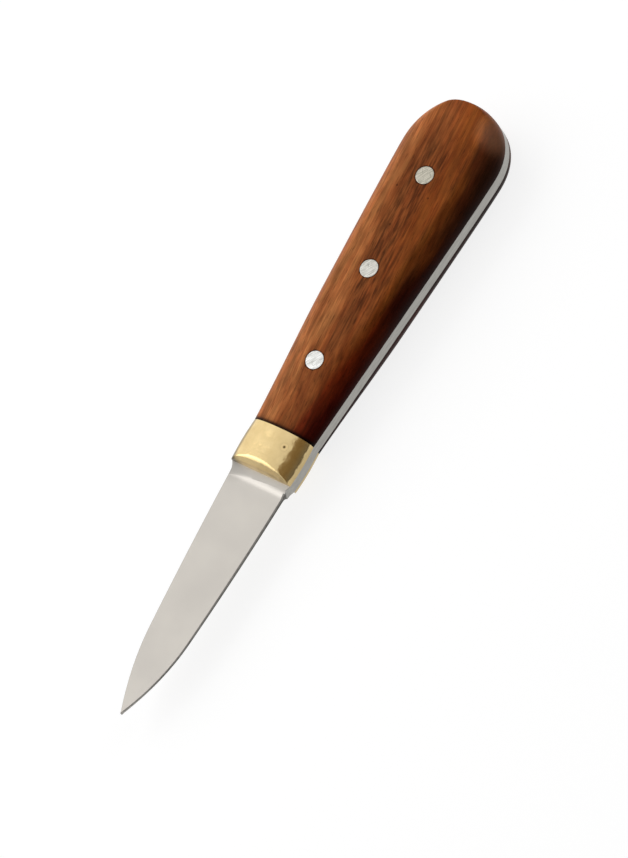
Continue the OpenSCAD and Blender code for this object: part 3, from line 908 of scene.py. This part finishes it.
# The further back a rivet is, the more it is tarnished.
rivet_place = add(tree, "ShaderNodeSeparateXYZ", {"Vector": (millimetres, 0)})
tarnish = add(tree, "ShaderNodeMapRange",
              {"Value": (rivet_place, "X"), "From Min": tip_x + rivet_xs[0],
               "From Max": tip_x + rivet_xs[2]})
tarnish_tone = add(tree, "ShaderNodeValToRGB", {"Fac": (tarnish, 0)},
                   ramp=[(0.1, "#ffffff"), (1.0, "#dcd6c8")])
rivet_dulled = add(tree, "ShaderNodeVectorMath",
                   {0: (rivet_tone, "Color"), 1: (tarnish_tone, "Color")}, operation="MULTIPLY")
rivet_colour = add(tree, "ShaderNodeVectorMath",
                   {0: (rivet_dulled, 0), "Scale": (crack_tone, 0)}, operation="SCALE")
rivet_rough = add(tree, "ShaderNodeMapRange",
                  {"Value": (sanding_lines, "Fac"), "To Min": 0.36, "To Max": 0.5})
rivet_bump = add(tree, "ShaderNodeBump",
                 {"Height": (sanding_lines, "Fac"), "Strength": 0.2, "Distance": 0.03 * MM})
join(tree, shader, {"Metallic": 1.0, "Base Color": (rivet_colour, 0),
                    "Roughness": (rivet_rough, 0), "Normal": (rivet_bump, 0)})
for rivet, name in rivets:
    rivet.data.materials.append(sanded_rivet)
    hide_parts(name)
    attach(rivet, "root")


# Table, lamps and surroundings. A pale matt table shows white but keeps the knife's soft shadow.
# Two large soft lamps hang beyond the back of the knife and a weaker one beyond its butt. The
# side behind the camera is dark.
TABLE_SIZE = 6.0            # metres
TABLE_DROP = 0.02           # millimetres below the wood, so that the two faces don't flicker
TABLE_GLOW = 0.84           # brings the table up to the white of the background
FLAG_WEST, FLAG_EAST = -0.7, 0.8          # metres, the dark cloth's sides, foot, head and height
FLAG_FOOT, FLAG_HEAD, FLAG_H = -1.4, -0.28, 1.5


def flat_card(name, corners):
    """A single flat sheet for the surroundings."""
    mesh = bpy.data.meshes.new(name)
    mesh.from_pydata(corners, [], [tuple(range(len(corners)))])
    card = bpy.data.objects.new(name, mesh)
    bpy.context.scene.collection.objects.link(card)
    return card


def seen_by(tree):
    """One where a ray from the camera, a mirror or a glass arrives, otherwise nought."""
    path = add(tree, "ShaderNodeLightPath")
    seen = add(tree, "ShaderNodeMath", {0: (path, "Is Camera Ray"), 1: (path, "Is Glossy Ray")},
               operation="MAXIMUM")
    return add(tree, "ShaderNodeMath", {0: (seen, 0), 1: (path, "Is Transmission Ray")},
               operation="MAXIMUM")


half = TABLE_SIZE / 2
table_z = -TABLE_DROP * MM
table = flat_card("table", [(-half, -half, table_z), (half, -half, table_z),
                            (half, half, table_z), (-half, half, table_z)])
pale_table = bpy.data.materials.new("matt_pale_table")
pale_table.use_nodes = True
tree = pale_table.node_tree
shader = tree.nodes["Principled BSDF"]
join(tree, shader, {"Base Color": linear("#7e7e7e"), "Roughness": 0.9})
lift = add(tree, "ShaderNodeEmission", {"Color": linear("#ffffff"), "Strength": TABLE_GLOW})
lit_table = add(tree, "ShaderNodeAddShader", {0: (shader, 0), 1: (lift, 0)})
dim_table = add(tree, "ShaderNodeBsdfDiffuse", {"Color": linear("#5e5e5e")})
shown = add(tree, "ShaderNodeMixShader",
            {0: (seen_by(tree), 0), 1: (dim_table, 0), 2: (lit_table, 0)})
join(tree, tree.nodes["Material Output"], {"Surface": (shown, 0)})
table.data.materials.append(pale_table)

flag = flat_card("dark_studio_side", [(FLAG_WEST, FLAG_FOOT, 0.0), (FLAG_EAST, FLAG_FOOT, 0.0),
                                      (FLAG_EAST, FLAG_HEAD, FLAG_H),
                                      (FLAG_WEST, FLAG_HEAD, FLAG_H)])
dark_cloth = bpy.data.materials.new("brown_black_studio_cloth")
dark_cloth.use_nodes = True
tree = dark_cloth.node_tree
path = add(tree, "ShaderNodeLightPath")
cloth_place = add(tree, "ShaderNodeTexCoord")
cloth_height = add(tree, "ShaderNodeSeparateXYZ", {"Vector": (cloth_place, "Object")})
cloth_tone = add(tree, "ShaderNodeMapRange",
                 {"Value": (cloth_height, "Z"), "From Max": FLAG_H, "To Min": 0.75,
                  "To Max": 1.6})
cloth_shown = add(tree, "ShaderNodeMapRange",
                  {"Value": (path, "Is Glossy Ray"), "To Min": 0.05, "To Max": (cloth_tone, 0)})
cloth_colour = add(tree, "ShaderNodeValToRGB", {"Fac": (cloth_height, "Z")},
                   ramp=[(0.45, "#827c72"), (0.85, "#7d6c50")])
cloth = add(tree, "ShaderNodeEmission",
            {"Color": (cloth_colour, "Color"), "Strength": (cloth_shown, 0)})
join(tree, tree.nodes["Material Output"], {"Surface": (cloth, 0)})
flag.data.materials.append(dark_cloth)
flag.visible_camera = False

world = bpy.data.worlds.new("white_room")
bpy.context.scene.world = world
world.use_nodes = True
tree = world.node_tree
room_level = add(tree, "ShaderNodeMapRange",
                 {"Value": (seen_by(tree), 0), "To Min": 0.38, "To Max": 1.0})
join(tree, tree.nodes["Background"], {"Color": linear("#ffffff"), "Strength": (room_level, 0)})


def lamp(name, place, size, watts):
    """A soft square lamp that looks at the knife."""
    data = bpy.data.lights.new(name, "AREA")
    data.size = size
    data.energy = watts
    made = bpy.data.objects.new(name, data)
    made.location = place
    made.rotation_euler = (knife_middle - Vector(place)).to_track_quat("-Z", "Y").to_euler()
    bpy.context.scene.collection.objects.link(made)
    return made


lamp("key_lamp", (-0.75, 0.95, 0.95), 1.5, 9)
soft_lamp = lamp("soft_lamp", (0.35, 1.15, 1.05), 1.2, 9)
end_lamp = lamp("end_lamp", (1.2, -0.2, 0.45), 0.8, 4)
soft_lamp.visible_glossy = end_lamp.visible_glossy = False

bpy.context.scene.view_settings.view_transform = "Standard"
